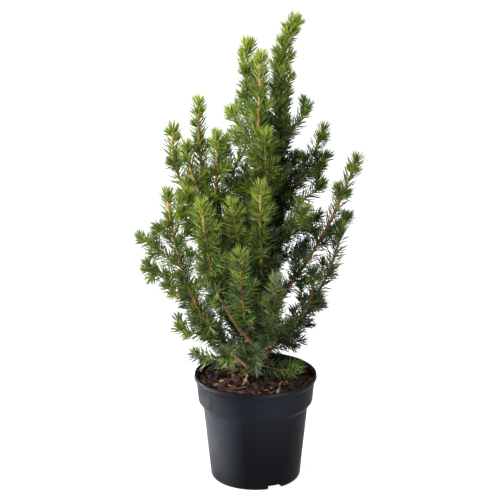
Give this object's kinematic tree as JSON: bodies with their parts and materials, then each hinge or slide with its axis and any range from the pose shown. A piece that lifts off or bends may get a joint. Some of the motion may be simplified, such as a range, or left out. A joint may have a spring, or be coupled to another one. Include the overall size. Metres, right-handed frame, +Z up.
{
  "type": "potted dwarf alberta spruce",
  "caption": "Young dwarf conifer with a leaning leader and upright, densely needled shoots, rooted in bark-topped soil in a dark round plastic nursery pot",
  "frame": {"origin": "centre of the pot's flat underside, where it stands", "axes": "+Z up along the pot's axis, -Y the front of the plant, +X its right side"},
  "size_m": [0.2244, 0.1864, 0.4652],
  "materials": {
    "pot": "satin moulded plastic, near-black slate grey",
    "soil": "loose chipped bark over peat, reddish brown",
    "trunk": "thin scaly young bark, grey brown",
    "bough": "smooth tan to orange-brown shoots with needle pegs",
    "foliage": "short needles, mid green, yellow-green at the tips"
  },
  "bodies": {
    "root": {"pot": "pot", "soil": "soil", "trunk": "trunk", "bough_top_front": "bough", "bough_right_long": "bough", "bough_right_low": "bough", "bough_left_low": "bough", "bough_left_tall": "bough", "bough_left_high": "bough", "bough_front_left_low": "bough", "bough_left_mid": "bough", "bough_front_low": "bough", "bough_front_right_low": "bough", "bough_back_left": "bough", "bough_back_low": "bough", "bough_back_right_low": "bough", "bough_back_left_foot": "bough", "bough_back_right_foot": "bough", "foliage_leader": "foliage", "foliage_top_front": "foliage", "foliage_top_left": "foliage", "foliage_right_long": "foliage", "foliage_right_low": "foliage", "foliage_left_low": "foliage", "foliage_left_tall": "foliage", "foliage_left_high": "foliage", "foliage_front_left_low": "foliage", "foliage_left_mid": "foliage", "foliage_front_mid": "foliage", "foliage_front_low": "foliage", "foliage_front_right_low": "foliage", "foliage_front_high": "foliage", "foliage_front_left_high": "foliage", "foliage_front_left_mid": "foliage", "foliage_right_high": "foliage", "foliage_right_mid": "foliage", "foliage_right_front": "foliage", "foliage_left_front_a": "foliage", "foliage_left_out_a": "foliage", "foliage_left_out_b": "foliage", "foliage_left_under_a": "foliage", "foliage_left_under_b": "foliage", "foliage_front_left_foot": "foliage", "foliage_right_foot": "foliage", "foliage_upper_left_a": "foliage", "foliage_upper_right": "foliage", "foliage_right_back_high": "foliage", "foliage_right_back_low": "foliage", "foliage_back_top": "foliage", "foliage_back_high": "foliage", "foliage_back_left_high": "foliage", "foliage_back_right_high": "foliage", "foliage_back_left": "foliage", "foliage_back_mid": "foliage", "foliage_back_low": "foliage", "foliage_back_right_low": "foliage", "foliage_back_left_mid": "foliage", "foliage_back_left_foot": "foliage", "foliage_back_right_foot": "foliage", "foliage_back_foot": "foliage"}
  },
  "joints": []
}
